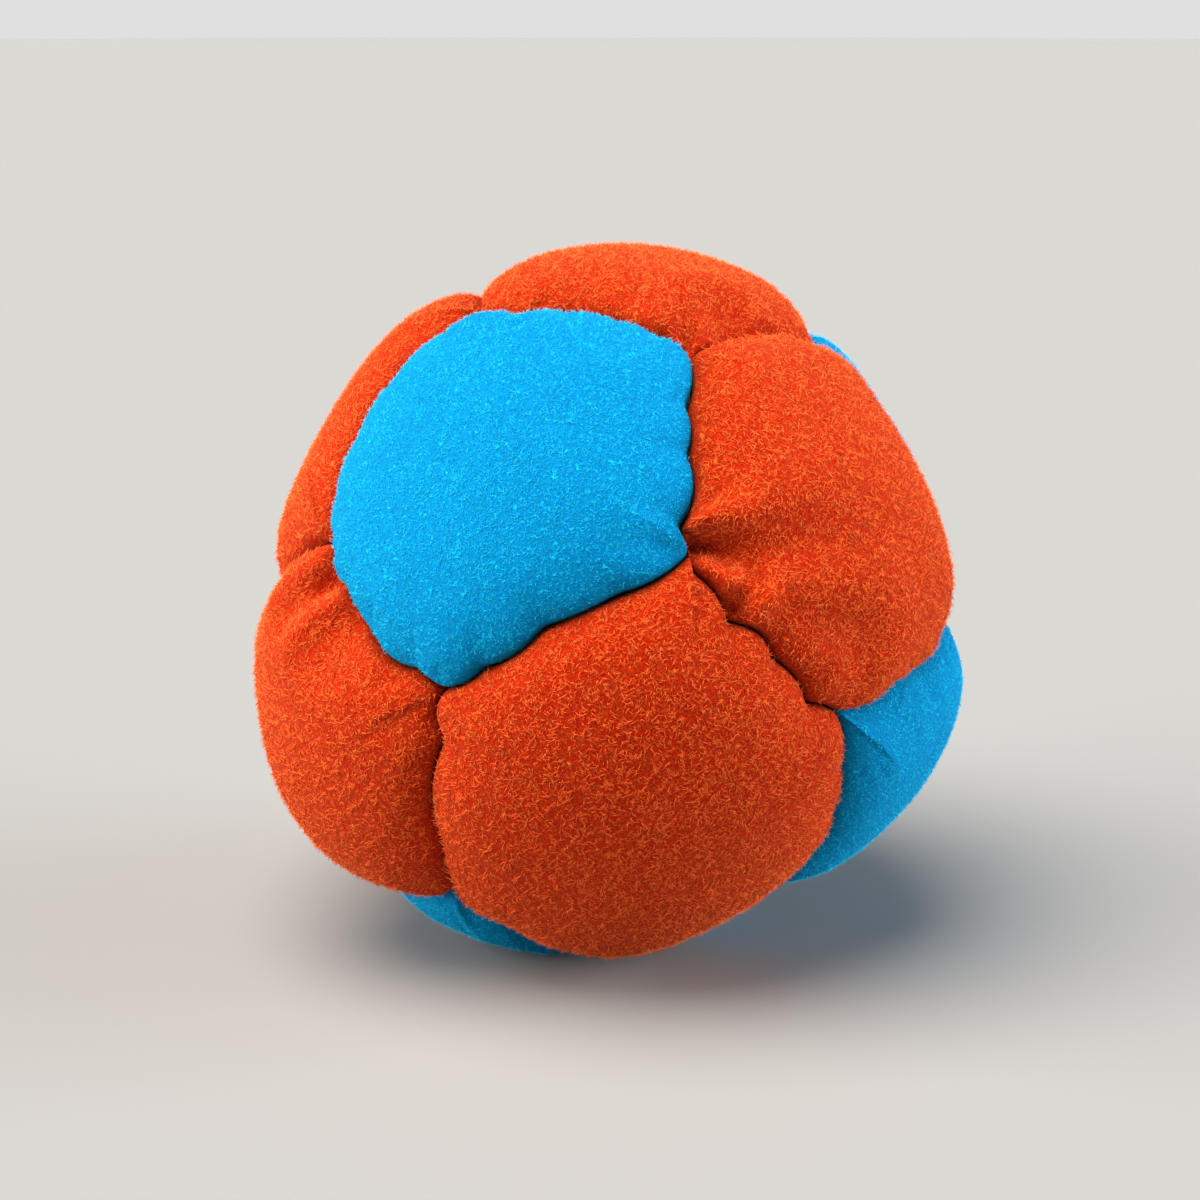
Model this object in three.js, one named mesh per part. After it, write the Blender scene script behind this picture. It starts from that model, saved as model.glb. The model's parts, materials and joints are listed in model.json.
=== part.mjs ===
// A soft juggling ball sewn from twelve five-sided suede panels round a fill of small grains.
// Millimetres, +Z up, standing on its flattened underside with the origin under its middle.
// The pattern is a dodecahedron blown up to a ball. It leans so that one blue panel, the leading
// one, looks up and to the front, and the corners wander a little, as on a hand-sewn ball.
import * as THREE from 'three';
import { mergeGeometries, mergeVertices } from 'three/addons/utils/BufferGeometryUtils.js';

// Driving dimensions, in millimetres.
const CROWN_RADIUS = 30; // from the ball's centre to the crown of a panel
const SEAM_SINK = 1.9; // how far a seam lies below the crowns
const PANEL_THICKNESS = 0.9;
const SEAM_GAP = 0.3; // between the mouths of two panels
const LIP_HEIGHT = 0.6; // from a seam's mouth down to the widest part of its thread channel
const CHANNEL_WIDTH = 1.3; // between two turned-in edges, where the thread lies
const ALLOWANCE_WIDTH = 3; // how far an edge is turned in below the seam
const CLEARANCE = 0.3; // between the fill and the panels
const THREAD_DIAMETER = 0.6;
const THREAD_DEPTH = 1.6; // below the seam's mouth
const THREAD_END_TRIM = 1.3; // each run of thread stops this far short of its corner
const KNOT_DIAMETER = 0.84;
const REST_PATCH_RADIUS = 9; // the flat on which the ball settles

// Shape of a panel's crown: it stays full until close to the seam, then rolls in steeply.
const ROLL_START = 3.5;
const ROLL_ROUNDNESS = 0.5;

// How the leading panel faces, in degrees.
const LEAD_AZIMUTH = -112.5;
const LEAD_ELEVATION = 35.5;
const LEAD_SPIN = -150;

// Fineness of the faceted solids.
const SEGMENTS_PER_EDGE = 5;
const OUTER_RINGS = [0.3, 0.55, 0.75, 0.88, 0.96];
const INNER_RINGS = [0.4, 0.7];
const THREAD_SIDES = 6;
const THREAD_STEPS = 6;

// Lengths that follow from the ones above.
const SEAM_RADIUS = CROWN_RADIUS - SEAM_SINK;
const FLOOR_DEPTH = Math.sqrt(CROWN_RADIUS ** 2 - REST_PATCH_RADIUS ** 2);
const ALLOWANCE_RADIUS = SEAM_RADIUS - ALLOWANCE_WIDTH;
const CHANNEL_OFFSET = CHANNEL_WIDTH / 2;
const INNER_WALL_OFFSET = CHANNEL_OFFSET + PANEL_THICKNESS;

// Angles of a regular dodecahedron, in degrees from the middle of one face.
const CORNERS_PER_FACE = 5;
const STEP_ROUND = 360 / CORNERS_PER_FACE;
const FACE_TO_CORNER = THREE.MathUtils.radToDeg(Math.acos(Math.sqrt((5 + 2 * Math.sqrt(5)) / 15)));
const CORNER_TO_CORNER = THREE.MathUtils.radToDeg(Math.acos(Math.sqrt(5) / 3));

// The four rings of corners from the leading panel to the opposite one. Each corner is moved by
// [away from the leading panel, sideways] in degrees, because no hand-sewn ball is regular.
const CORNER_RINGS = {
  V: { polar: FACE_TO_CORNER, turn: 0, wander: [[0, -3], [0, 1], [-3, 5], [1, -2], [-1.5, 6]] },
  W: {
    polar: FACE_TO_CORNER + CORNER_TO_CORNER,
    turn: 0,
    wander: [[0, 0], [-4, 6], [-6, 0.5], [4, -6], [-7, -1]],
  },
  X: {
    polar: 180 - FACE_TO_CORNER - CORNER_TO_CORNER,
    turn: -STEP_ROUND / 2,
    wander: [[1, 2], [1, -4], [3.5, 10], [-2, 1], [2, -2]],
  },
  Y: {
    polar: 180 - FACE_TO_CORNER,
    turn: -STEP_ROUND / 2,
    wander: [[0, 2], [2, 0], [1, 2], [-2, 1], [0, -1]],
  },
};

const BLUE = 0x1693cf;
const ORANGE = 0xd9481c;

// Each panel's corners in order round it, and its colour.
const PANELS = {
  front: { corners: ['V0', 'V1', 'V2', 'V3', 'V4'], colour: BLUE },
  top: { corners: ['V0', 'V1', 'W1', 'X0', 'W0'], colour: ORANGE },
  right: { corners: ['V1', 'V2', 'W2', 'X1', 'W1'], colour: ORANGE },
  lower_front: { corners: ['V2', 'V3', 'W3', 'X2', 'W2'], colour: ORANGE },
  lower_left: { corners: ['V3', 'V4', 'W4', 'X3', 'W3'], colour: ORANGE },
  upper_left: { corners: ['V4', 'V0', 'W0', 'X4', 'W4'], colour: ORANGE },
  upper_back: { corners: ['W0', 'X0', 'Y0', 'Y4', 'X4'], colour: BLUE },
  right_back: { corners: ['W1', 'X1', 'Y1', 'Y0', 'X0'], colour: BLUE },
  lower_right: { corners: ['W2', 'X2', 'Y2', 'Y1', 'X1'], colour: BLUE },
  base: { corners: ['W3', 'X3', 'Y3', 'Y2', 'X2'], colour: BLUE },
  left_back: { corners: ['W4', 'X4', 'Y4', 'Y3', 'X3'], colour: ORANGE },
  lower_back: { corners: ['Y0', 'Y1', 'Y2', 'Y3', 'Y4'], colour: BLUE },
};

// The corners at which the sewing starts and is closed off.
const KNOTS = { starting_knot: 'Y1', closing_knot: 'Y2' };

// Turns the pattern's frame, in which +Z is the middle of the leading panel, into the ball's.
const LEAN = new THREE.Quaternion()
  .setFromAxisAngle(new THREE.Vector3(0, 0, 1), THREE.MathUtils.degToRad(LEAD_AZIMUTH))
  .multiply(
    new THREE.Quaternion().setFromAxisAngle(
      new THREE.Vector3(0, 1, 0),
      THREE.MathUtils.degToRad(90 - LEAD_ELEVATION),
    ),
  )
  .multiply(
    new THREE.Quaternion().setFromAxisAngle(new THREE.Vector3(0, 0, 1), THREE.MathUtils.degToRad(LEAD_SPIN)),
  );

// The unit direction of a named corner, such as W3, from the ball's centre.
function cornerDirection(name) {
  const ring = CORNER_RINGS[name[0]];
  const index = Number(name[1]);
  const [away, sideways] = ring.wander[index];
  const polar = THREE.MathUtils.degToRad(ring.polar);
  const movedPolar = polar + THREE.MathUtils.degToRad(away);
  const azimuth = THREE.MathUtils.degToRad(ring.turn - STEP_ROUND * index + sideways / Math.sin(polar));
  return new THREE.Vector3().setFromSphericalCoords(1, movedPolar, azimuth);
}

// three.js measures its polar angle from +Y; this puts a direction into the ball's +Z-up frame.
function leaned(direction) {
  return new THREE.Vector3(direction.z, direction.x, direction.y).applyQuaternion(LEAN);
}

// A panel's outline: corners counter-clockwise from outside, seam planes and the middle.
function outlineOf(panelName) {
  let names = [...PANELS[panelName].corners];
  let corners = names.map((name) => leaned(cornerDirection(name)));
  const middle = corners.reduce((sum, corner) => sum.add(corner), new THREE.Vector3()).normalize();
  const turn = new THREE.Vector3().crossVectors(corners[0], corners[1]).dot(middle);
  if (turn < 0) {
    names = names.reverse();
    corners = corners.reverse();
  }
  const inward = corners.map((corner, i) => {
    const next = corners[(i + 1) % corners.length];
    return new THREE.Vector3().crossVectors(corner, next).normalize();
  });
  return { names, corners, middle, inward };
}

// The point at a corner that is offset mm from both seam planes that meet there.
function insetCorner(outline, i, radius, offset) {
  const before = outline.inward[(i + CORNERS_PER_FACE - 1) % CORNERS_PER_FACE];
  const after = outline.inward[i];
  const sideways = new THREE.Vector3().addVectors(before, after);
  sideways.multiplyScalar(offset / (1 + before.dot(after)));
  const outwards = Math.sqrt(radius ** 2 - sideways.lengthSq());
  return outline.corners[i].clone().multiplyScalar(outwards).add(sideways);
}

// One point on the edge that starts at corner i, share of the way along it.
function edgePoint(outline, i, share, radius, offset) {
  const next = (i + 1) % CORNERS_PER_FACE;
  const normal = outline.inward[i];
  // Both panels of a seam measure from the same corner, so that they get the same point.
  const swapped = outline.names[i] > outline.names[next];
  const start = insetCorner(outline, swapped ? next : i, radius, offset);
  const end = insetCorner(outline, swapped ? i : next, radius, offset);
  const point = start.lerp(end, swapped ? 1 - share : share);
  point.addScaledVector(normal, -normal.dot(point));
  point.setLength(Math.sqrt(radius ** 2 - offset ** 2));
  return point.addScaledVector(normal, offset);
}

// A loop of points round a panel at one radius, offset mm inside its seam planes.
function edgeLoop(outline, radius, offset) {
  const loop = [];
  for (let i = 0; i < CORNERS_PER_FACE; i += 1) {
    loop.push(insetCorner(outline, i, radius, offset));
    for (let k = 1; k < SEGMENTS_PER_EDGE; k += 1) {
      loop.push(edgePoint(outline, i, k / SEGMENTS_PER_EDGE, radius, offset));
    }
  }
  return loop;
}

// Height of the outer skin, where reach runs from 0 at the panel's middle to 1 at its seam.
function skinRadius(reach) {
  return SEAM_RADIUS + SEAM_SINK * (1 - reach ** ROLL_START) ** ROLL_ROUNDNESS;
}

// A loop on the skin, reach of the way from the middle to the edge, depth mm below the outside.
function skinLoop(outline, rim, reach, depth) {
  return rim.map((point) => {
    const direction = outline.middle.clone().lerp(point.clone().normalize(), reach);
    return direction.setLength(skinRadius(reach) - depth);
  });
}

// Presses what reaches below the floor up to it, depth mm above it.
function settle(point, depth) {
  return point.setZ(Math.max(point.z, -FLOOR_DEPTH + depth));
}

// Triangles between a tip and a chain of loops, closed by a second tip if there is one.
function skinGeometry(firstTip, loops, lastTip) {
  const points = [firstTip, ...loops.flat()];
  const size = loops[0].length;
  const triangles = [];
  const at = (row, k) => 1 + row * size + (k % size);
  for (let k = 0; k < size; k += 1) {
    triangles.push(0, at(0, k), at(0, k + 1));
  }
  for (let row = 1; row < loops.length; row += 1) {
    for (let k = 0; k < size; k += 1) {
      triangles.push(at(row - 1, k), at(row, k), at(row, k + 1));
      triangles.push(at(row - 1, k), at(row, k + 1), at(row - 1, k + 1));
    }
  }
  if (lastTip) {
    const last = loops.length - 1;
    points.push(lastTip);
    for (let k = 0; k < size; k += 1) {
      triangles.push(at(last, k), points.length - 1, at(last, k + 1));
    }
  }
  const geometry = new THREE.BufferGeometry().setFromPoints(points);
  return geometry.setIndex(triangles);
}

// The share of the way to the edge at which the wall of the turned-in edge meets the skin.
function wallReach(outline) {
  const edgeMiddle = edgePoint(outline, 0, 0.5, SEAM_RADIUS, 0);
  return 1 - INNER_WALL_OFFSET / (outline.middle.angleTo(edgeMiddle) * SEAM_RADIUS);
}

// One suede panel: the crowned skin, with its edge turned in between it and its neighbours.
function panelGeometry(panelName) {
  const outline = outlineOf(panelName);
  const mouth = edgeLoop(outline, SEAM_RADIUS, SEAM_GAP / 2);
  const wallTop = skinRadius(wallReach(outline)) - PANEL_THICKNESS;
  const outside = OUTER_RINGS.map((reach) => skinLoop(outline, mouth, reach, 0));
  const inside = INNER_RINGS.toReversed().map((reach) => skinLoop(outline, mouth, reach, PANEL_THICKNESS));
  const turnedIn = [
    edgeLoop(outline, SEAM_RADIUS - LIP_HEIGHT, CHANNEL_OFFSET),
    edgeLoop(outline, ALLOWANCE_RADIUS, CHANNEL_OFFSET),
    edgeLoop(outline, ALLOWANCE_RADIUS, INNER_WALL_OFFSET),
    edgeLoop(outline, wallTop, INNER_WALL_OFFSET),
  ];
  const crown = outline.middle.clone().setLength(CROWN_RADIUS);
  const crownInside = outline.middle.clone().setLength(CROWN_RADIUS - PANEL_THICKNESS);
  [crown, ...outside.flat()].forEach((point) => settle(point, 0));
  [crownInside, ...inside.flat()].forEach((point) => settle(point, PANEL_THICKNESS));
  return skinGeometry(crown, [...outside, mouth, ...turnedIn, ...inside], crownInside);
}

// The grains as one body: they swell out under each panel and dip below the turned-in edges.
function fillGeometry() {
  const patches = Object.keys(PANELS).map((panelName) => {
    const outline = outlineOf(panelName);
    const mouth = edgeLoop(outline, SEAM_RADIUS, SEAM_GAP / 2);
    const depth = PANEL_THICKNESS + CLEARANCE;
    const wallTop = skinRadius(wallReach(outline)) - depth;
    const loops = [
      ...INNER_RINGS.map((reach) => skinLoop(outline, mouth, reach, depth)),
      edgeLoop(outline, wallTop, INNER_WALL_OFFSET + CLEARANCE),
      edgeLoop(outline, ALLOWANCE_RADIUS - CLEARANCE, INNER_WALL_OFFSET + CLEARANCE),
      edgeLoop(outline, ALLOWANCE_RADIUS - CLEARANCE, 0),
    ];
    const crown = outline.middle.clone().setLength(CROWN_RADIUS - depth);
    [crown, ...loops.flat()].forEach((point) => settle(point, depth));
    return skinGeometry(crown, loops, null);
  });
  return mergeVertices(mergeGeometries(patches), 1e-4);
}

// One seam's thread, along the arc between its two corners.
function threadGeometry(from, to) {
  const start = leaned(cornerDirection(from));
  const end = leaned(cornerDirection(to));
  const radius = SEAM_RADIUS - THREAD_DEPTH;
  const trim = THREAD_END_TRIM / (radius * start.angleTo(end));
  const axis = new THREE.Vector3().crossVectors(start, end).normalize();
  const route = [];
  for (let k = 0; k <= THREAD_STEPS; k += 1) {
    const share = trim + ((1 - 2 * trim) * k) / THREAD_STEPS;
    const point = start.clone().applyAxisAngle(axis, share * start.angleTo(end));
    route.push(point.multiplyScalar(radius));
  }
  const section = new THREE.Shape().absarc(0, 0, THREAD_DIAMETER / 2, 0, 2 * Math.PI, false);
  return new THREE.ExtrudeGeometry(section, {
    steps: THREAD_STEPS,
    curveSegments: THREAD_SIDES / 2,
    extrudePath: new THREE.CatmullRomCurve3(route),
  });
}

// A knot in the pit where three seams meet.
function knotGeometry(cornerName) {
  const place = leaned(cornerDirection(cornerName)).multiplyScalar(SEAM_RADIUS - THREAD_DEPTH);
  const knot = new THREE.IcosahedronGeometry(KNOT_DIAMETER / 2, 1);
  return knot.translate(place.x, place.y, place.z);
}

// Every seam once: its two panels and the two corners that it joins.
function seams() {
  const found = new Map();
  Object.entries(PANELS).forEach(([panelName, panel]) => {
    panel.corners.forEach((corner, i) => {
      const next = panel.corners[(i + 1) % CORNERS_PER_FACE];
      const key = [corner, next].sort().join();
      const seam = found.get(key) ?? { panels: [], corners: [corner, next] };
      seam.panels.push(panelName);
      found.set(key, seam);
    });
  });
  return [...found.values()];
}

function suede(colour) {
  return new THREE.MeshStandardMaterial({ color: colour, roughness: 0.95, metalness: 0 });
}

function thread() {
  return new THREE.MeshStandardMaterial({ color: 0x3a1a16, roughness: 0.7, metalness: 0 });
}

function grains() {
  return new THREE.MeshStandardMaterial({ color: 0xd8cba8, roughness: 0.8, metalness: 0 });
}

function named(name, geometry, material) {
  const mesh = new THREE.Mesh(geometry, material);
  mesh.name = name;
  return mesh;
}

const ball = new THREE.Group();
ball.name = 'juggling_ball';
Object.entries(PANELS).forEach(([panelName, panel]) => {
  ball.add(named(`panel_${panelName}`, panelGeometry(panelName), suede(panel.colour)));
});
seams().forEach(({ panels, corners }) => {
  ball.add(named(`thread_${panels.join('-')}`, threadGeometry(...corners), thread()));
});
Object.entries(KNOTS).forEach(([knotName, cornerName]) => {
  ball.add(named(knotName, knotGeometry(cornerName), thread()));
});
ball.add(named('grain_fill', fillGeometry(), grains()));

// Stand the ball on its flat, with the middle of its extent over the origin.
const extent = new THREE.Box3().setFromObject(ball, true);
const middle = extent.getCenter(new THREE.Vector3());
ball.position.set(-middle.x, -middle.y, -extent.min.z);

export default ball;
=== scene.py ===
"""A twelve-panel suede juggling ball, lying on a pale floor.

Lengths are millimetres about the ball's centre until a mesh is made. The pattern of panels is the
CAD part's. A cloth simulation puffs the cover out between its stitches, then each panel is kept
on its own side of its seams, creased, given its thickness and covered with nap.
"""

import json
import math
import random

import bpy
import numpy as np
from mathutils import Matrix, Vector


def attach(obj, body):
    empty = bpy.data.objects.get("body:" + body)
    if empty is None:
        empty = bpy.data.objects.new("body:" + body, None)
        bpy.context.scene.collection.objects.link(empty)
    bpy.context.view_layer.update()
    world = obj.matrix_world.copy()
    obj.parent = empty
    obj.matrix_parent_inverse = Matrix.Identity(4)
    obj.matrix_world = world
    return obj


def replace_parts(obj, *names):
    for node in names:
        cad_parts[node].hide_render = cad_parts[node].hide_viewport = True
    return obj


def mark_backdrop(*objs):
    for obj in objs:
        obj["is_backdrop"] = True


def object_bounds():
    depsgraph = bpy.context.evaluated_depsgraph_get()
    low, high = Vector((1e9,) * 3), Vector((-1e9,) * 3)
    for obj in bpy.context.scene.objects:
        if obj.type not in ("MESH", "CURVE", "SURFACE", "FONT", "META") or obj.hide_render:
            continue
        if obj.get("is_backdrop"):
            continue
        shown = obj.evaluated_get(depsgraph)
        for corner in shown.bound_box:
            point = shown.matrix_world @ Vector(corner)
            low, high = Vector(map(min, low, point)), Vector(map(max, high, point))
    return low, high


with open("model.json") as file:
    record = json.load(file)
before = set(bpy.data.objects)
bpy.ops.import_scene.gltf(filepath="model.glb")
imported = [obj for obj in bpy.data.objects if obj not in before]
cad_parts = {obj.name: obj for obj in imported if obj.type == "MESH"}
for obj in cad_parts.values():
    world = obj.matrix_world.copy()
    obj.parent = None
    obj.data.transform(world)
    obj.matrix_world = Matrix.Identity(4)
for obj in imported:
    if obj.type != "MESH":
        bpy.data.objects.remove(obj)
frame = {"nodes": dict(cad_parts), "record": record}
cad_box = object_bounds()

# ---- The ball's driving dimensions, as the CAD part has them -----------------------------------
MM = 0.001
CROWN_RADIUS = 30.0
SEAM_RADIUS = 28.1
PANEL_THICKNESS = 0.9
REST_PATCH_RADIUS = 9.0
FLOOR_DEPTH = math.sqrt(CROWN_RADIUS**2 - REST_PATCH_RADIUS**2)
LEAD_AZIMUTH, LEAD_ELEVATION, LEAD_SPIN = -112.5, 35.5, -150.0
FACE_TO_CORNER = math.degrees(math.acos(math.sqrt((5 + 2 * math.sqrt(5)) / 15)))
CORNER_TO_CORNER = math.degrees(math.acos(math.sqrt(5) / 3))
STEP_ROUND = 72.0

rest_point = next(m for m in frame["record"]["mounts"] if m["name"] == "rest_face")["pos_m"]
CENTRE = np.array(rest_point) / MM + [0, 0, FLOOR_DEPTH]

# Each ring of corners: its polar angle, its turn, and each corner's [away, sideways] in degrees.
CORNER_RINGS = {
    "V": (FACE_TO_CORNER, 0, [(0, -3), (0, 1), (-3, 5), (1, -2), (-1.5, 6)]),
    "W": (FACE_TO_CORNER + CORNER_TO_CORNER, 0, [(0, 0), (-4, 6), (-6, 0.5), (4, -6), (-7, -1)]),
    "X": (
        180 - FACE_TO_CORNER - CORNER_TO_CORNER,
        -STEP_ROUND / 2,
        [(1, 2), (1, -4), (3.5, 10), (-2, 1), (2, -2)],
    ),
    "Y": (180 - FACE_TO_CORNER, -STEP_ROUND / 2, [(0, 2), (2, 0), (1, 2), (-2, 1), (0, -1)]),
}

# Each panel's corners in order, its colour, and how much wider its cloth is cut than its place.
PANELS = {
    "front": ("V0 V1 V2 V3 V4", "blue", 0.012),
    "top": ("V0 V1 W1 X0 W0", "orange", 0.05),
    "right": ("V1 V2 W2 X1 W1", "orange", 0.045),
    "lower_front": ("V2 V3 W3 X2 W2", "orange", 0.03),
    "lower_left": ("V3 V4 W4 X3 W3", "orange", 0.045),
    "upper_left": ("V4 V0 W0 X4 W4", "orange", 0.045),
    "upper_back": ("W0 X0 Y0 Y4 X4", "blue", 0.045),
    "right_back": ("W1 X1 Y1 Y0 X0", "blue", 0.04),
    "lower_right": ("W2 X2 Y2 Y1 X1", "blue", 0.04),
    "base": ("W3 X3 Y3 Y2 X2", "blue", 0.03),
    "left_back": ("W4 X4 Y4 Y3 X3", "orange", 0.05),
    "lower_back": ("Y0 Y1 Y2 Y3 Y4", "blue", 0.05),
}


# ---- Directions --------------------------------------------------------------------------------
def turn_z(degrees):
    a = math.radians(degrees)
    return np.array([[math.cos(a), -math.sin(a), 0], [math.sin(a), math.cos(a), 0], [0, 0, 1]])


def turn_y(degrees):
    a = math.radians(degrees)
    return np.array([[math.cos(a), 0, math.sin(a)], [0, 1, 0], [-math.sin(a), 0, math.cos(a)]])


LEAN = turn_z(LEAD_AZIMUTH) @ turn_y(90 - LEAD_ELEVATION) @ turn_z(LEAD_SPIN)


def unit(v):
    return v / np.linalg.norm(v, axis=-1, keepdims=True)


def corner(name):
    """The direction of a corner of the pattern."""
    polar, turn, wander = CORNER_RINGS[name[0]]
    index = int(name[1])
    away, sideways = wander[index]
    azimuth = math.radians(turn - STEP_ROUND * index + sideways / math.sin(math.radians(polar)))
    polar = math.radians(polar + away)
    level = math.sin(polar)
    return LEAN @ np.array([level * math.cos(azimuth), level * math.sin(azimuth), math.cos(polar)])


CORNERS = {ring + str(i): corner(ring + str(i)) for ring in CORNER_RINGS for i in range(5)}

# ---- Seams: where the stitches pull, and how the cloth bulges across the line between them ------
# For each seam: its stitches, as (share of the way from its first corner to its second, mm to the
# left of the straight way), then the mm of bulge to the left between each stitch and the next.
SEAM_SHAPES = {
    ("V0", "V1"): (
        [(0, 0), (0.2, -1.1), (0.42, 0), (0.66, 0.4), (0.86, 0.1), (1, 0)],
        [0.1, 0.3, 0.1, 0.1, 0.1],
    ),
    ("V1", "V2"): ([(0, 0), (0.32, -0.6), (0.57, -0.6), (0.9, -1.1), (1, 0)], [0.4, 0.4, 0.9, 0]),
    ("V2", "V3"): ([(0, 0), (0.28, 0.1), (0.57, -0.5), (0.82, 0), (1, 0)], [0.5, 0.2, 0.6, 0.4]),
    ("V3", "V4"): (
        [(0, 0), (0.15, 0.3), (0.42, 1.3), (0.74, 0.9), (0.93, 0.4), (1, 0)],
        [-0.1, 0.5, 0, 0.4, 0],
    ),
    ("V4", "V0"): (
        [(0, 0), (0.12, 1.6), (0.35, 3.0), (0.62, 3.3), (0.86, 2.0), (1, 0)],
        [0.2, 0.3, 0.3, 0.3, 0.1],
    ),
    ("V1", "W1"): ([(0, 0), (0.3, 0.2), (0.62, -0.6), (1, 0)], [0.1, 0.2, -1.0]),
    ("V2", "W2"): (
        [(0, 0), (0.07, -1), (0.31, -2.1), (0.55, -1.5), (0.84, -1.8), (0.96, -0.4), (1, 0)],
        [-0.2, 0.5, 1, 0.6, 0.3, 0],
    ),
    ("V3", "W3"): ([(0, 0), (0.17, 0.7), (0.62, 0.1), (1, 0)], [-0.7, -0.7, 0.3]),
    ("V4", "W4"): ([(0, 0), (0.1, -0.4), (0.35, -0.3), (0.65, 0.6), (1, 0)], [0, 0, 0.2, 0.2]),
    ("X1", "W2"): ([(0, 0), (0.24, -0.1), (0.52, 0.4), (0.76, 0.4), (1, 0)], [0.1, 0.4, -0.3, 0.4]),
    ("W1", "X1"): ([(0, 0), (0.22, -1.0), (0.46, 0.4), (0.74, 1.5), (1, 0)], [0.3, 0.3, 0.4, 0.3]),
    ("W3", "X2"): (
        [(0, 0), (0.15, -1.9), (0.35, -6.0), (0.55, -9.0), (0.75, -9.0), (0.9, -5.0), (1, 0)],
        [-0.2, -0.4, -0.4, -0.4, -0.4, -0.2],
    ),
    ("W2", "X2"): ([(0, 0), (0.25, 0.9), (0.5, 1.6), (0.75, 1.7), (1, 0)], [0.3, 0.3, 0.3, 0.3]),
}
STITCH_PITCH = 4.4
SEAM_LOW, SEAM_HIGH = 26.5, 27.2  # the seam line's radius at a stitch, and between stitches
ARCH_FULLNESS = 0.7  # lower keeps a scallop full closer to its stitches


def all_seams():
    """Each seam once: (first corner, second corner): the two panels on it."""
    seams = {}
    for name, (corners, *_) in PANELS.items():
        names = corners.split()
        for a, b in zip(names, names[1:] + names[:1]):
            key = (b, a) if (b, a) in SEAM_SHAPES or (b, a) in seams else (a, b)
            seams.setdefault(key, []).append(name)
    return seams


SEAMS = all_seams()


def even_seam(key):
    """Stitches and bulges for a seam with no shape of its own: about even, as by hand."""
    chance = random.Random("-".join(key))
    length = SEAM_RADIUS * math.acos(CORNERS[key[0]] @ CORNERS[key[1]])
    count = max(3, round(length / STITCH_PITCH))
    side = chance.choice([-1, 1])
    stitches = [(0, 0)]
    for i in range(1, count):
        stitches.append(((i + chance.uniform(-0.15, 0.15)) / count, side * chance.uniform(-0.6, 0.3)))
    stitches.append((1, 0))
    return stitches, [side * chance.uniform(0.2, 0.8) for _ in range(count)]


SHAPES = {key: SEAM_SHAPES[key] if key in SEAM_SHAPES else even_seam(key) for key in SEAMS}


def seam_profile(key, share, bulging=1.0):
    """(mm to the left, how open from 0 at a stitch to 1 midway) at each share of a seam."""
    stitches, bulges = SHAPES[key]
    shares, sideways = np.array(stitches, float).T
    bulges = np.array(bulges, float)
    i = np.clip(np.searchsorted(shares, share, side="right") - 1, 0, len(bulges) - 1)
    along = np.clip((share - shares[i]) / (shares[i + 1] - shares[i]), 0, 1)
    arch = np.sin(math.pi * along) ** ARCH_FULLNESS
    line = sideways[i] * (1 - along) + sideways[i + 1] * along
    return line + bulging * bulges[i] * arch, arch


def seam_frame(key):
    """A seam's (first corner, way ahead along it, way to its left, angle it spans)."""
    a, b = (CORNERS[n] for n in key)
    left = unit(np.cross(a, b))
    return a, np.cross(left, a), left, math.acos(a @ b)


def seam_points(key, share, low=SEAM_LOW, high=SEAM_HIGH, bulging=1.0):
    """Points on the seam line, at radius low at the stitches and high between them."""
    a, ahead, left, angle = seam_frame(key)
    sideways, arch = seam_profile(key, share, bulging)
    line = np.outer(np.cos(share * angle), a) + np.outer(np.sin(share * angle), ahead)
    direction = unit(line + np.outer(sideways / SEAM_RADIUS, left))
    return direction * (low + (high - low) * arch)[:, None]


# ---- Panel grids: five sectors of triangles round a panel's middle ------------------------------
RINGS = 34
RING_CROWDING = 0.85  # lower spreads the rings nearer the seam
PLAIN_BULGE = 0.35  # how much of the bulges the plain line under the scallops keeps
GRID = np.array([(i, k, j) for k in range(1, RINGS + 1) for i in range(5) for j in range(k)])
POINTS = len(GRID) + 1
EDGE = POINTS - 5 * RINGS  # the first grid point that is on the seam


def grid_index(sector, ring, step):
    """A grid point's row in its panel's list, where row 0 is the middle."""
    if ring == 0:
        return 0
    return 1 + 5 * ring * (ring - 1) // 2 + (sector * ring + step) % (5 * ring)


def grid_faces():
    faces = []
    for i in range(5):
        for k in range(1, RINGS + 1):
            for j in range(k):
                a, b = grid_index(i, k, j), grid_index(i, k, j + 1)
                faces.append((grid_index(i, k - 1, j), a, b))
                if j < k - 1:
                    faces.append((grid_index(i, k - 1, j), b, grid_index(i, k - 1, j + 1)))
    return np.array(faces)


FACES = grid_faces()


def outline(name):
    """A panel's corner names, counter-clockwise from outside, and the direction of its middle."""
    names = PANELS[name][0].split()
    middle = unit(sum(CORNERS[n] for n in names))
    if np.cross(CORNERS[names[0]], CORNERS[names[1]]) @ middle < 0:
        names.reverse()
    return names, middle


def panel_edges(name):
    """A panel's five seams in order: (seam, whether the panel's order follows it)."""
    names, _ = outline(name)
    pairs = zip(names, names[1:] + names[:1])
    return [((a, b), True) if (a, b) in SEAMS else ((b, a), False) for a, b in pairs]


PUFF_RADIUS = 29.3  # the crown before the cloth is blown out
SHOULDER = 5.0  # higher is flatter on top and rounder at the seams
SCALLOP_START = 0.72  # how far out from the middle the scallops begin


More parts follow.
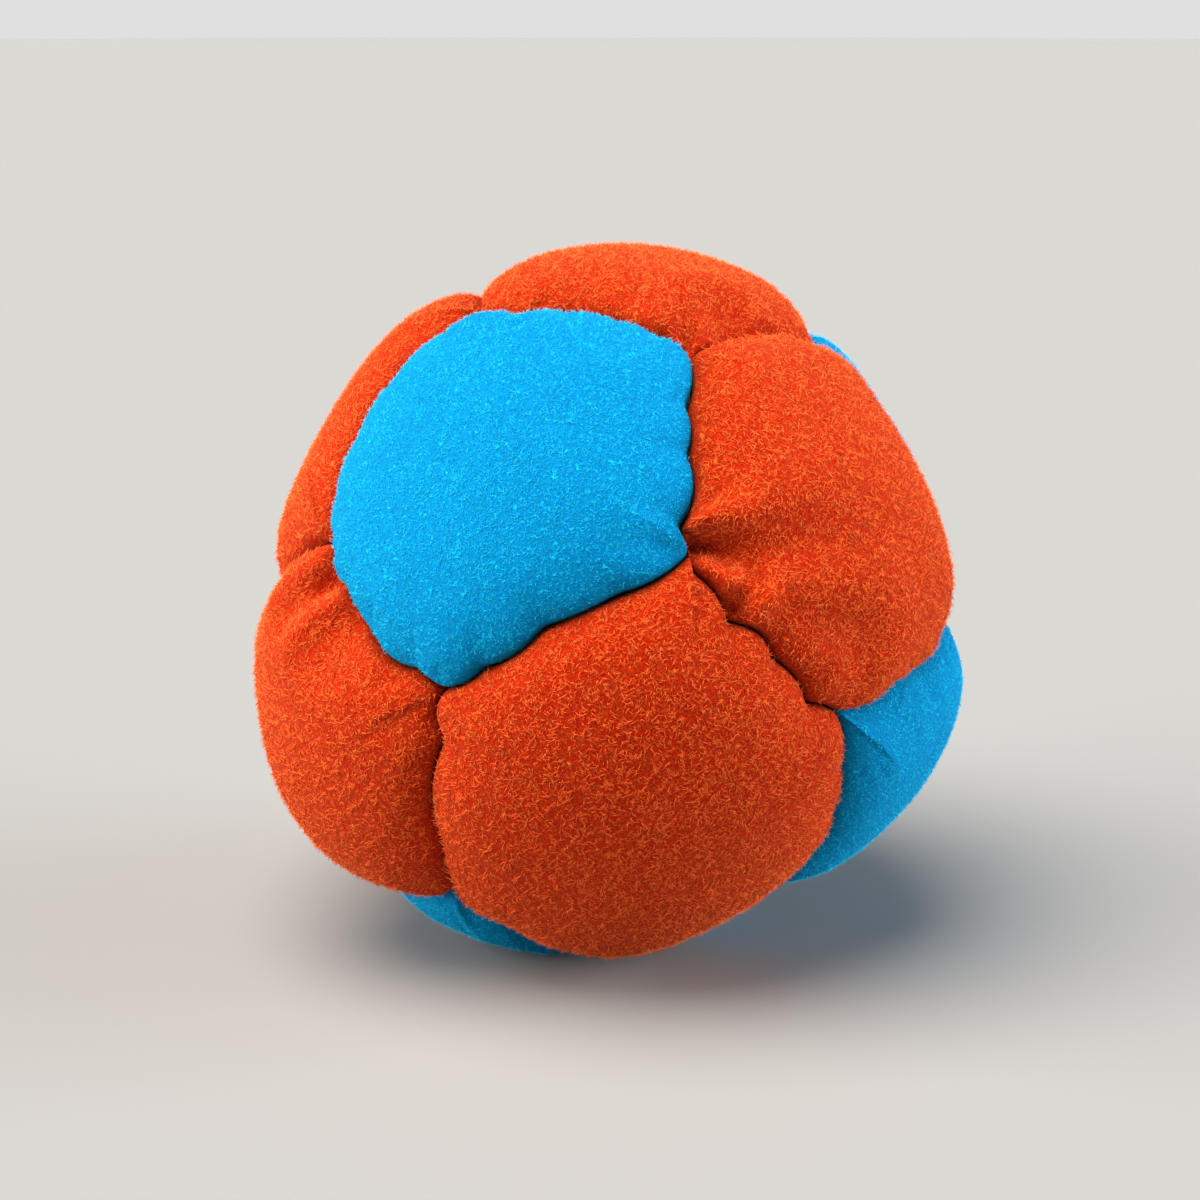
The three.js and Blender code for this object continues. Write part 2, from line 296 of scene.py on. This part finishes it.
def puffed(name):
    """A panel's grid points before the simulation: a pillow that rolls down into its seams."""
    _, middle = outline(name)
    sector, ring, step = GRID.T
    reach = (ring / RINGS) ** RING_CROWDING
    near_seam = np.clip((reach - SCALLOP_START) / (1 - SCALLOP_START), 0, 1) ** 2
    plain = np.zeros((len(GRID), 3))
    scalloped = np.zeros((len(GRID), 3))
    for i, (key, follows) in enumerate(panel_edges(name)):
        pick = sector == i
        share = step[pick] / ring[pick]
        share = share if follows else 1 - share
        plain[pick] = seam_points(key, share, SEAM_HIGH, SEAM_HIGH, PLAIN_BULGE)
        scalloped[pick] = seam_points(key, share)
    edge = plain + (scalloped - plain) * near_seam[:, None]
    edge_radius = np.linalg.norm(edge, axis=1)
    direction = unit(middle * (1 - reach)[:, None] + unit(edge) * reach[:, None])
    rise = (1 - reach**SHOULDER) ** 0.5
    radius = edge_radius + (PUFF_RADIUS - edge_radius) * rise
    return np.vstack([[middle * PUFF_RADIUS], direction * radius[:, None]])


# ---- Cloth simulation --------------------------------------------------------------------------
SIM_SCALE = 50.0  # the simulation runs on a ball 50 times the size, where Blender's cloth behaves
SIM_FRAMES = 16
MOST_GROWTH = 0.06


def simulated(panels):
    """The panels' points after their cloth is blown out between the pinned seams."""
    points = np.vstack(panels) * MM * SIM_SCALE
    faces = np.vstack([FACES + POINTS * i for i in range(len(panels))])
    mesh = bpy.data.meshes.new("cover_cloth")
    mesh.from_pydata(points.tolist(), [], faces.tolist())
    cover = bpy.data.objects.new("cover_cloth", mesh)
    bpy.context.scene.collection.objects.link(cover)
    pins = cover.vertex_groups.new(name="pins")
    growth = cover.vertex_groups.new(name="growth")
    for i, (_, _, share) in enumerate(PANELS.values()):
        pins.add(list(range(POINTS * i + EDGE, POINTS * (i + 1))), 1.0, "REPLACE")
        growth.add(list(range(POINTS * i, POINTS * (i + 1))), share / MOST_GROWTH, "REPLACE")
    cloth = cover.modifiers.new("cloth", "CLOTH")
    settings = cloth.settings
    settings.vertex_group_mass = "pins"
    settings.vertex_group_shrink = "growth"
    settings.shrink_min = 0
    settings.shrink_max = -MOST_GROWTH
    settings.quality = 6
    settings.mass = 0.3
    settings.tension_stiffness = settings.compression_stiffness = 25
    settings.shear_stiffness = 15
    settings.bending_stiffness = 1.5
    settings.air_damping = 2
    settings.use_pressure = True
    settings.uniform_pressure_force = 6
    settings.effector_weights.gravity = 0
    cloth.collision_settings.use_collision = False
    scene = bpy.context.scene
    for step in range(1, SIM_FRAMES + 1):
        scene.frame_set(step)
    settled = cover.evaluated_get(bpy.context.evaluated_depsgraph_get()).to_mesh()
    flat = np.zeros(3 * len(points))
    settled.vertices.foreach_get("co", flat)
    scene.frame_set(1)
    bpy.data.objects.remove(cover)
    bpy.data.meshes.remove(mesh)
    return np.split(flat.reshape(-1, 3) / (MM * SIM_SCALE), len(panels))


# ---- Shaping after the simulation --------------------------------------------------------------
SOFT_LIMIT, HARD_LIMIT = 29.2, 30.25
SIDE_GAP = 0.02  # how far inside its seam line a panel's cloth stays


def limited(points):
    """Points past the soft limit are pressed in, as the fill and the hand round the ball."""
    radius = np.linalg.norm(points, axis=1)
    room = HARD_LIMIT - SOFT_LIMIT
    over = np.maximum(radius - SOFT_LIMIT, 0)
    pressed = np.minimum(radius, SOFT_LIMIT) + room * np.tanh(over / room)
    return points * (pressed / radius)[:, None]


def kept_to_side(name, points):
    """Points that bulge across a seam line are laid against the neighbour instead."""
    for key, follows in panel_edges(name):
        a, ahead, left, angle = seam_frame(key)
        side = 1 if follows else -1
        radius = np.linalg.norm(points, axis=1)
        direction = points / radius[:, None]
        share = np.clip(np.arctan2(direction @ ahead, direction @ a) / angle, 0, 1)
        line, _ = seam_profile(key, share)
        inside = side * (SEAM_RADIUS * np.arcsin(direction @ left) - line)
        push = np.maximum(SIDE_GAP - inside, 0)
        push[EDGE:] = 0
        moved = unit(direction + np.outer(side * push / SEAM_RADIUS, left))
        points = moved * radius[:, None]
    return points


def front_point(x, z):
    """A place on the ball's near side, given in mm to the right and up as seen along +Y."""
    return unit(np.array([x, -math.sqrt(CROWN_RADIUS**2 - x * x - z * z), z]))


def distance_to_path(direction, path):
    """(mm from a path of directions, share of the way along it) for each direction."""
    best = np.full(len(direction), 1e9)
    where = np.zeros(len(direction))
    for i, (a, b) in enumerate(zip(path, path[1:])):
        way = b - a
        along = np.clip((direction - a) @ way / (way @ way), 0, 1)
        gap = np.linalg.norm(direction - (a + np.outer(along, way)), axis=1) * CROWN_RADIUS
        nearer = gap < best
        best[nearer] = gap[nearer]
        where[nearer] = (i + along[nearer]) / (len(path) - 1)
    return best, where


# Folds: panel, path as (right, up) in mm, then depth and width in mm at the path's two ends.
FOLDS = [
    (
        "right",
        [(4.9, 11.6), (7.5, 11.0), (9.9, 10.2), (11.5, 9.9), (14.5, 10.3), (18.0, 9.8), (21.5, 8.8)],
        (3.0, 0.2),
        (0.65, 3.4),
    ),
    ("right", [(11.0, 8.2), (9.9, 6.4), (9.5, 4.8)], (0.5, 1.6), (0.9, 0.9)),
    ("right", [(14.0, 6.0), (19.0, 2.5)], (0.5, 0.9), (1.8, 2.8)),
    ("top", [(6.0, 24.4), (6.5, 25.9), (7.8, 27.0)], (2.8, 0.8), (1.0, 1.9)),
    ("top", [(9.3, 25.2), (10.3, 26.7)], (2.1, 0.8), (1.0, 1.8)),
    ("top", [(-8.6, 26.3), (-6.4, 27.7)], (1.2, 0.4), (0.9, 1.6)),
    ("front", [(-11.3, 25.9), (-8.8, 25.5), (-7.3, 26.0)], (0.5, 0.4), (0.6, 0.8)),
    ("front", [(5.4, 10.5), (2.7, 11.1), (0.4, 12.0)], (0.5, 0.15), (0.9, 1.6)),
    ("lower_left", [(-21.6, 7.2), (-24.7, 4.6), (-26.4, 2.1)], (2.2, 0.9), (0.8, 1.6)),
    ("lower_left", [(-19.8, 6.4), (-21.1, 3.5), (-22.7, 0.3)], (1.5, 0.5), (1.1, 2.2)),
    ("upper_left", [(-22.4, 8.8), (-25.1, 7.4)], (0.6, 0.4), (0.8, 1.4)),
]
HIDDEN_PANELS = ["upper_back", "right_back", "left_back", "lower_back", "base"]
PUCKERS = 3  # on each hidden panel
PUCKER_START = 0.03  # how far from the corner to the panel's middle a pucker begins
FADE = 1.4  # higher makes a fold shallower sooner
WELT_HEIGHT, WELT_PLACE = 0.35, 1.9  # beside a fold: against its depth, and in widths from it


def corner_folds(name):
    """Puckers that run in from some corners of a panel, as (path of directions, depths, widths)."""
    chance = random.Random(name)
    names, middle = outline(name)
    folds = []
    for start in chance.sample(names, PUCKERS):
        aside = unit(np.cross(middle, CORNERS[start])) * chance.uniform(-0.06, 0.06)
        reach = chance.uniform(0.3, 0.5)
        steps = (PUCKER_START, reach / 2, reach)
        path = [unit(CORNERS[start] * (1 - t) + middle * t + aside * t * 3) for t in steps]
        folds.append((path, (chance.uniform(0.8, 1.5), 0.2), (0.9, chance.uniform(1.4, 2.2))))
    return folds


def folds_on(name):
    """All of a panel's folds, as (path of directions, depths, widths)."""
    if name in HIDDEN_PANELS:
        return corner_folds(name)
    own = [fold for fold in FOLDS if fold[0] == name]
    return [([front_point(*p) for p in path], *sizes) for _, path, *sizes in own]


def folded(name, points):
    """The panel with its folds pressed in, each with a soft welt on both sides."""
    for path, depths, widths in folds_on(name):
        radius = np.linalg.norm(points, axis=1)
        gap, where = distance_to_path(points / radius[:, None], path)
        depth = depths[1] + (depths[0] - depths[1]) * (1 - where) ** FADE
        width = widths[0] + (widths[1] - widths[0]) * where
        welt = WELT_HEIGHT * np.exp(-((gap / width - WELT_PLACE) ** 2))
        groove = np.exp(-((gap / width) ** 2)) - welt
        groove[EDGE:] = 0
        points = points * (1 - depth * groove / radius)[:, None]
    return points


# Where the grains have pushed the soft ball out of round: way, mm outwards, spread in degrees.
SAGS = [
    ((-0.76, -0.30, -0.57), 3.0, 28),
    ((0.94, -0.15, -0.32), 1.0, 20),
    ((-0.87, 0.00, 0.50), -1.5, 22),
    ((0.82, 0.00, 0.56), -1.6, 15),
    ((0.34, -0.35, -0.87), -0.7, 16),
    ((-0.02, -0.50, -0.86), 1.3, 17),
    ((0.96, -0.05, 0.28), -0.7, 18),
]


def sagged(points):
    """Points on or in the ball, moved as the grains inside have settled."""
    direction = unit(points)
    stretch = np.ones(len(points))
    for way, out, spread in SAGS:
        apart = np.degrees(np.arccos(np.clip(direction @ unit(np.array(way)), -1, 1)))
        stretch += out / CROWN_RADIUS * np.exp(-((apart / spread) ** 2))
    return points * stretch[:, None]


def on_floor(points, lift=0.0):
    points = points.copy()
    points[:, 2] = np.maximum(points[:, 2], -FLOOR_DEPTH + lift)
    return points


# ---- Meshes ------------------------------------------------------------------------------------
def new_piece(name, points, faces, material, levels):
    """A smooth mesh object from points in mm about the ball's centre."""
    mesh = bpy.data.meshes.new(name)
    mesh.from_pydata(((points + CENTRE) * MM).tolist(), [], [tuple(map(int, f)) for f in faces])
    mesh.polygons.foreach_set("use_smooth", [True] * len(mesh.polygons))
    mesh.materials.append(material)
    mesh.update()
    piece = bpy.data.objects.new(name, mesh)
    bpy.context.scene.collection.objects.link(piece)
    if levels:
        subdivision = piece.modifiers.new("finer", "SUBSURF")
        subdivision.levels = subdivision.render_levels = levels
    return piece


TURN_DEPTH = 1.7  # how far a panel's edge is turned in along the seam
TURN_GAP = 0.15  # from the seam line to the turned-in edge


def shell(name, outer):
    """A panel's closed solid: outside, turned-in edge and inside."""
    _, middle = outline(name)
    edge = outer[EDGE:]
    edge_radius = np.linalg.norm(edge, axis=1)[:, None]
    inward = unit(middle - unit(edge))
    turned = edge * (1 - TURN_DEPTH / edge_radius) + inward * TURN_GAP
    inside = outer * (1 - PANEL_THICKNESS / np.linalg.norm(outer, axis=1))[:, None]
    inside[EDGE:] = turned + inward * PANEL_THICKNESS
    points = np.vstack([outer, turned, on_floor(inside, PANEL_THICKNESS)])
    count = len(edge)
    faces = FACES.tolist()
    turned_at, inside_at = POINTS, POINTS + count
    for i in range(count):
        j = (i + 1) % count
        faces.append((EDGE + j, EDGE + i, turned_at + i, turned_at + j))
        faces.append((turned_at + j, turned_at + i, inside_at + EDGE + i, inside_at + EDGE + j))
    faces += (FACES[:, ::-1] + inside_at).tolist()
    return points, faces


# ---- Materials ---------------------------------------------------------------------------------
class Nodes:
    """Short calls for building a material's nodes."""

    def __init__(self, name):
        self.material = bpy.data.materials.new(name)
        self.material.use_nodes = True
        self.tree = self.material.node_tree
        self.bsdf = self.tree.nodes["Principled BSDF"]

    def add(self, kind, inputs=(), **settings):
        node = self.tree.nodes.new("ShaderNode" + kind)
        for key, value in settings.items():
            setattr(node, key, value)
        for socket, value in dict(inputs).items():
            self.put(node.inputs[socket], value)
        return node

    def put(self, socket, value):
        if isinstance(value, bpy.types.NodeSocket):
            self.tree.links.new(value, socket)
        else:
            socket.default_value = value

    def math(self, operation, a, b):
        return self.add("Math", {0: a, 1: b}, operation=operation).outputs[0]

    def noise(self, place, per_mm, detail=2.0, rough=0.5, distortion=0.0):
        inputs = {"Vector": place, "Scale": per_mm / MM, "Detail": detail}
        inputs |= {"Roughness": rough, "Distortion": distortion}
        return self.add("TexNoise", inputs).outputs["Fac"]

    def span(self, value, low, high):
        """value from low to high, as 0 to 1."""
        inputs = {"Value": value, "From Min": low, "From Max": high}
        return self.add("MapRange", inputs, clamp=True).outputs[0]

    def mix(self, share, a, b):
        node = self.add("Mix", data_type="RGBA")
        self.put(node.inputs[0], share)
        self.put(node.inputs[6], a)
        self.put(node.inputs[7], b)
        return node.outputs[2]


def fibres(nodes, place, per_mm):
    """Short curling ridges, from 0 between them to 1 on them."""
    wander = nodes.noise(place, per_mm, 0.0, 0.5, 0.6)
    ridge = nodes.math("ABSOLUTE", nodes.math("SUBTRACT", wander, 0.5), 0.0)
    return nodes.span(ridge, 0.06, 0.01)


def suede(name, deep, mid, nap, rim, fibre_scale, fibre_share, sheen):
    """Brushed suede: curling nap fibres over a darker ground."""
    nodes = Nodes(name)
    place = nodes.add("TexCoord").outputs["Object"]
    shift = nodes.add("VectorMath", {0: place, 1: (0.31, 0.17, 0.23)}, operation="ADD").outputs[0]
    long_fibres = fibres(nodes, place, fibre_scale)
    short_fibres = fibres(nodes, shift, fibre_scale * 1.6)
    clumps = nodes.span(nodes.noise(shift, fibre_scale * 0.8, 1.0), 0.38, 0.62)
    lit = nodes.math("MAXIMUM", long_fibres, nodes.math("MULTIPLY", short_fibres, 0.8))
    lit = nodes.math("MULTIPLY", lit, nodes.math("ADD", nodes.math("MULTIPLY", clumps, 0.7), 0.3))
    felt = nodes.noise(place, fibre_scale * 2.5, 3.0, 0.6)
    patches = nodes.span(nodes.noise(place, 0.12, 3.0, 0.55), 0.3, 0.7)
    ground = nodes.mix(nodes.span(felt, 0.3, 0.7), (*deep, 1), (*mid, 1))
    colour = nodes.mix(nodes.math("MULTIPLY", lit, fibre_share), ground, (*nap, 1))
    worn = nodes.mix(nodes.math("MULTIPLY", patches, 0.22), colour, (*deep, 1))
    nodes.put(nodes.bsdf.inputs["Base Color"], worn)
    rough = nodes.add("MapRange", {"Value": felt, "To Min": 0.85, "To Max": 1.0}).outputs[0]
    nodes.put(nodes.bsdf.inputs["Roughness"], rough)
    nodes.put(nodes.bsdf.inputs["Sheen Weight"], sheen)
    nodes.put(nodes.bsdf.inputs["Sheen Roughness"], 0.45)
    nodes.put(nodes.bsdf.inputs["Sheen Tint"], (*rim, 1))
    nodes.put(nodes.bsdf.inputs["Specular IOR Level"], 0.04)
    height = nodes.math("ADD", lit, nodes.math("MULTIPLY", felt, 0.8))
    bump = nodes.add("Bump", {"Height": height, "Strength": 0.9, "Distance": 0.14 * MM})
    nodes.put(nodes.bsdf.inputs["Normal"], bump.outputs[0])
    return nodes.material


COLOURS = {  # the ground between the fibres, the ground, the fibres, and their glow at the rim
    "blue": ((0.0, 0.15, 0.40), (0.0, 0.33, 0.74), (0.006, 0.60, 0.95), (0.08, 0.8, 0.95)),
    "orange": ((0.31, 0.005, 0.0), (0.66, 0.022, 0.001), (0.97, 0.15, 0.022), (1.0, 0.46, 0.2)),
}
SUEDE = {
    "blue": suede("suede_blue", *COLOURS["blue"], 2.8, 0.9, 0.12),
    "orange": suede("suede_orange", *COLOURS["orange"], 2.2, 0.95, 0.16),
}


def loose_fibre(name, nap, rim):
    """One fibre of the nap: the cloth's own colour, lighter where it catches the light."""
    nodes = Nodes(name)
    nodes.put(nodes.bsdf.inputs["Base Color"], (*nap, 1))
    nodes.put(nodes.bsdf.inputs["Roughness"], 0.8)
    nodes.put(nodes.bsdf.inputs["Sheen Weight"], 0.2)
    nodes.put(nodes.bsdf.inputs["Sheen Tint"], (*rim, 1))
    nodes.put(nodes.bsdf.inputs["Specular IOR Level"], 0.1)
    return nodes.material


FIBRE = {colour: loose_fibre("nap_" + colour, *COLOURS[colour][2:]) for colour in COLOURS}
NAP_PER_MM2 = 8.5
NAP_LENGTH = {"blue": (0.25, 0.5), "orange": (0.35, 0.8)}
NAP_RADIUS = {"blue": 0.034, "orange": 0.042}
NAP_LIFT = {"blue": (0.3, 1.0), "orange": (0.2, 0.75)}  # how steeply, to 1 along the cloth
NAP_ROOT = 0.06  # how deep a fibre's foot is in the cloth
NAP_UNREST = 1.4  # how far a fibre turns from its neighbours, in radians
THIRDS = [2 * math.pi * i / 3 for i in range(3)]


def surface_normals(points, faces):
    """The outward direction at each point of a mesh."""
    a, b, c = (points[faces[:, i]] for i in range(3))
    across = np.cross(b - a, c - a)
    normals = np.zeros_like(points)
    for i in range(3):
        np.add.at(normals, faces[:, i], across)
    return unit(normals)


def nap(name, colour, outer):
    """Fibres that stand off a panel: thin spikes with their feet in the cloth."""
    chance = np.random.default_rng(sum(map(ord, name)))
    faces = FACES[np.max(FACES, axis=1) < EDGE]
    normals = surface_normals(outer, FACES)
    corners = outer[faces]
    across = np.cross(corners[:, 1] - corners[:, 0], corners[:, 2] - corners[:, 0])
    areas = np.linalg.norm(across, axis=1) / 2
    count = int(areas.sum() * NAP_PER_MM2)
    chosen = chance.choice(len(faces), size=count, p=areas / areas.sum())
    weights = chance.dirichlet((1, 1, 1), size=count)[:, :, None]
    foot = (corners[chosen] * weights).sum(axis=1)
    up = unit((normals[faces[chosen]] * weights).sum(axis=1))
    east = unit(np.cross(up, LEAN[:, 0]))
    north = np.cross(up, east)
    swirl = 2.5 * np.sin(foot @ (0.9, 1.7, -1.1)) + 2.5 * np.sin(foot @ (-1.9, 0.8, 1.3))
    swirl += chance.uniform(-NAP_UNREST, NAP_UNREST, count)
    lie = east * np.cos(swirl)[:, None] + north * np.sin(swirl)[:, None]
    way = unit(lie + up * chance.uniform(*NAP_LIFT[colour], count)[:, None])
    aside = unit(np.cross(way, up))
    over = np.cross(way, aside)
    tip = foot + way * chance.uniform(*NAP_LENGTH[colour], count)[:, None]
    rooted = foot - up * NAP_ROOT
    thick = NAP_RADIUS[colour]
    feet = [rooted + (aside * math.cos(t) + over * math.sin(t)) * thick for t in THIRDS]
    clear = np.minimum(tip[:, 2], rooted[:, 2] - NAP_ROOT) > -FLOOR_DEPTH
    points = np.stack([*feet, tip], axis=1)[clear].reshape(-1, 3)
    sides = np.array([(0, 2, 1), (0, 1, 3), (1, 2, 3), (2, 0, 3)])
    spikes = (sides[None] + 4 * np.arange(clear.sum())[:, None, None]).reshape(-1, 3)
    piece = new_piece("nap_" + name, points, spikes, FIBRE[colour], 0)
    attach(piece, "root")
    return piece


def build_panels():
    shapes = [puffed(name) for name in PANELS]
    shapes = simulated(shapes)
    for (name, (_, colour, _)), points in zip(PANELS.items(), shapes):
        points = kept_to_side(name, limited(points))
        points = on_floor(sagged(folded(name, points)))
        piece = new_piece("suede_" + name, *shell(name, points), SUEDE[colour], 1)
        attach(piece, "root")
        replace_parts(piece, "panel_" + name)
        fibres_on_it = nap(name, colour, points)


build_panels()

# ---- Fill and threads --------------------------------------------------------------------------
FILL_RADIUS = 23.8
GRAIN_RADIUS = 1.2
GRAINS = 1300


def moulded(name, light, dark, scale, rough):
    """A plain material with a little mottling, for what is inside."""
    nodes = Nodes(name)
    place = nodes.add("TexCoord").outputs["Object"]
    mottle = nodes.noise(place, scale, 3.0, 0.6)
    nodes.put(nodes.bsdf.inputs["Base Color"], nodes.mix(mottle, (*dark, 1), (*light, 1)))
    nodes.put(nodes.bsdf.inputs["Roughness"], rough)
    bump = nodes.add("Bump", {"Height": mottle, "Strength": 0.4, "Distance": 0.05 * MM})
    nodes.put(nodes.bsdf.inputs["Normal"], bump.outputs[0])
    return nodes.material


def grain_ways():
    """Evenly spread directions, one for each grain that shows on the outside of the fill."""
    i = np.arange(GRAINS) + 0.5
    level = 1 - 2 * i / GRAINS
    turn = math.pi * (1 + math.sqrt(5)) * i
    flat = np.sqrt(1 - level**2)
    return np.stack([flat * np.cos(turn), flat * np.sin(turn), level], axis=1)


def build_fill():
    bpy.ops.mesh.primitive_ico_sphere_add(subdivisions=6, radius=1.0)
    ball = bpy.context.object
    ways = np.array([v.co for v in ball.data.vertices])
    faces = [tuple(f.vertices) for f in ball.data.polygons]
    bpy.data.objects.remove(ball)
    nearest = np.max(ways @ grain_ways().T, axis=1)
    apart = FILL_RADIUS * np.arccos(np.clip(nearest, -1, 1))
    height = np.sqrt(np.maximum(GRAIN_RADIUS**2 - apart**2, 0))
    points = sagged(ways * (FILL_RADIUS + height)[:, None])
    material = moulded("grain", (0.78, 0.70, 0.52), (0.55, 0.47, 0.32), 0.8, 0.45)
    piece = new_piece("grains", points, faces, material, 0)
    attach(piece, "root")
    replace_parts(piece, "grain_fill")


THREAD_RADIUS = 0.3
STITCH_REACH = 0.55  # how far a stitch goes into the cloth on each side of the seam
THREAD_DEEP = 0.75  # below the seam line
KNOT_RADIUS = 0.42
KNOTS = {"starting_knot": "Y1", "closing_knot": "Y2"}
THREAD_MATERIAL = moulded("waxed_thread", (0.16, 0.035, 0.015), (0.06, 0.012, 0.006), 3.0, 0.6)


def tube(name, points, radius, closed=False):
    """A round thread along a smooth line through points in mm about the ball's centre."""
    data = bpy.data.curves.new(name, "CURVE")
    data.dimensions = "3D"
    data.bevel_depth = radius * MM
    data.bevel_resolution = 1
    data.use_fill_caps = True
    spline = data.splines.new("NURBS")
    spline.points.add(len(points) - 1)
    for target, point in zip(spline.points, (points + CENTRE) * MM):
        target.co = (*point, 1)
    spline.order_u = 3
    spline.resolution_u = 2
    spline.use_endpoint_u = not closed
    spline.use_cyclic_u = closed
    line = bpy.data.objects.new(name + "_line", data)
    bpy.context.scene.collection.objects.link(line)
    evaluated = line.evaluated_get(bpy.context.evaluated_depsgraph_get())
    mesh = bpy.data.meshes.new_from_object(evaluated)
    bpy.data.objects.remove(line)
    bpy.data.curves.remove(data)
    mesh.name = name
    mesh.materials.clear()
    mesh.materials.append(THREAD_MATERIAL)
    piece = bpy.data.objects.new(name, mesh)
    bpy.context.scene.collection.objects.link(piece)
    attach(piece, "root")
    return piece


def ladder(key):
    """A seam's ladder stitch: along one edge to the next stitch, across, and along the other."""
    shares = [share for share, _ in SHAPES[key][0]]
    left = seam_frame(key)[2]
    points = []
    side = 1
    for start, end in zip(shares, shares[1:]):
        for share in (start + (end - start) * t for t in (0.12, 0.5, 0.88)):
            on_seam = seam_points(key, np.array([share]), SEAM_LOW, SEAM_LOW)[0]
            points.append(on_seam - unit(on_seam) * THREAD_DEEP + left * side * STITCH_REACH)
        side = -side
    return sagged(np.array(points))


def knot(at):
    """A trefoil knot pulled small, under a corner."""
    t = np.linspace(0, 2 * math.pi, 25)[:-1]
    across, upward = np.sin(t) + 2 * np.sin(2 * t), np.cos(t) - 2 * np.cos(2 * t)
    loops = np.stack([across, upward, -np.sin(3 * t)], axis=1)
    return sagged(loops * KNOT_RADIUS / 3 + CORNERS[at] * (SEAM_LOW - 2 * THREAD_DEEP))


def build_threads():
    for key, (first, second) in SEAMS.items():
        names = [f"{first}-{second}", f"{second}-{first}"]
        node = next("thread_" + n for n in names if "thread_" + n in frame["nodes"])
        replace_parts(tube("stitches_" + node[len("thread_"):], ladder(key), THREAD_RADIUS), node)
    for name, at in KNOTS.items():
        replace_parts(tube("tied_" + name, knot(at), THREAD_RADIUS / 2, closed=True), name)


build_fill()
build_threads()

# ---- Camera, floor and light -------------------------------------------------------------------
CAMERA_ELEVATION = 14.0
CAMERA_DISTANCE = 7.0 * CROWN_RADIUS
AIM_LEFT, AIM_DOWN = 1.02, 0.17  # how far the camera aims from the ball's middle, in mm
SENSOR_WIDTH, LENS = 36.0, 74.2


def add_camera():
    tilt = math.radians(CAMERA_ELEVATION)
    data = bpy.data.cameras.new("camera")
    data.sensor_width = SENSOR_WIDTH
    data.lens = LENS
    data.clip_start = 0.001
    camera = bpy.data.objects.new("camera", data)
    bpy.context.scene.collection.objects.link(camera)
    up = np.array([0, math.sin(tilt), math.cos(tilt)])
    back = np.array([0, -math.cos(tilt), math.sin(tilt)])
    aim = CENTRE + np.array([-AIM_LEFT, 0, 0]) - up * AIM_DOWN
    camera.location = (aim + back * CAMERA_DISTANCE) * MM
    camera.rotation_euler = (math.radians(90) - tilt, 0, 0)
    bpy.context.scene.camera = camera


STAGE_SIZE = 8.0  # metres
FLOOR_COLOUR = (0.30, 0.295, 0.285, 1)
DOME_COLOUR = (0.72, 0.72, 0.72, 1)
SKY_COLOUR, SKY_STRENGTH = (0.9, 0.94, 1.0, 1), 0.12
LIGHT_WIDTH = 50  # degrees across, which is soft
LIGHTS = {  # the way to it, its strength and its colour
    "overhead": ((-0.28, -0.2, 1.0), 5.0, (1.0, 0.98, 0.95)),
    "left_side": ((-1.0, -0.14, 0.3), 4.2, (1.0, 0.95, 0.88)),
    "right_side": ((1.0, 0.02, 0.1), 6.2, (0.93, 0.97, 1.0)),
}


def add_stage():
    """A plain pale floor, and a pale dome round it that only the camera sees."""
    nodes = Nodes("studio_floor")
    nodes.put(nodes.bsdf.inputs["Base Color"], FLOOR_COLOUR)
    nodes.put(nodes.bsdf.inputs["Roughness"], 0.9)
    bpy.ops.mesh.primitive_plane_add(size=STAGE_SIZE, location=(0, 0, 0))
    floor = bpy.context.object
    floor.name = "studio_floor"
    floor.data.materials.append(nodes.material)
    glow = Nodes("studio_dome")
    glow.put(glow.bsdf.inputs["Base Color"], (0, 0, 0, 1))
    glow.put(glow.bsdf.inputs["Emission Color"], DOME_COLOUR)
    glow.put(glow.bsdf.inputs["Emission Strength"], 1.0)
    bpy.ops.mesh.primitive_uv_sphere_add(radius=STAGE_SIZE / 2.2, segments=48, ring_count=24)
    dome = bpy.context.object
    dome.name = "studio_dome"
    dome.data.materials.append(glow.material)
    dome.visible_diffuse = dome.visible_glossy = dome.visible_shadow = False
    dome.visible_transmission = dome.visible_volume_scatter = False
    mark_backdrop(floor, dome)


def add_light(name, toward, strength, colour):
    """A soft light from far away, in the direction toward."""
    data = bpy.data.lights.new(name, "SUN")
    data.angle = math.radians(LIGHT_WIDTH)
    data.energy = strength
    data.color = colour
    light = bpy.data.objects.new(name, data)
    bpy.context.scene.collection.objects.link(light)
    light.rotation_euler = Vector(toward).to_track_quat("Z", "Y").to_euler()


def add_sky():
    """A dim even light from everywhere, and colours shown as they are."""
    world = bpy.data.worlds.new("sky")
    bpy.context.scene.world = world
    world.use_nodes = True
    sky = world.node_tree.nodes["Background"]
    sky.inputs["Color"].default_value = SKY_COLOUR
    sky.inputs["Strength"].default_value = SKY_STRENGTH
    bpy.context.scene.view_settings.view_transform = "Standard"


add_camera()
add_stage()
for light_name, light_values in LIGHTS.items():
    add_light(light_name, *light_values)
add_sky()

visual_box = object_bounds()
boxes = {"cad": cad_box, "visual": visual_box}
boxes = {name: [[float(c) for c in end] for end in box] for name, box in boxes.items()}
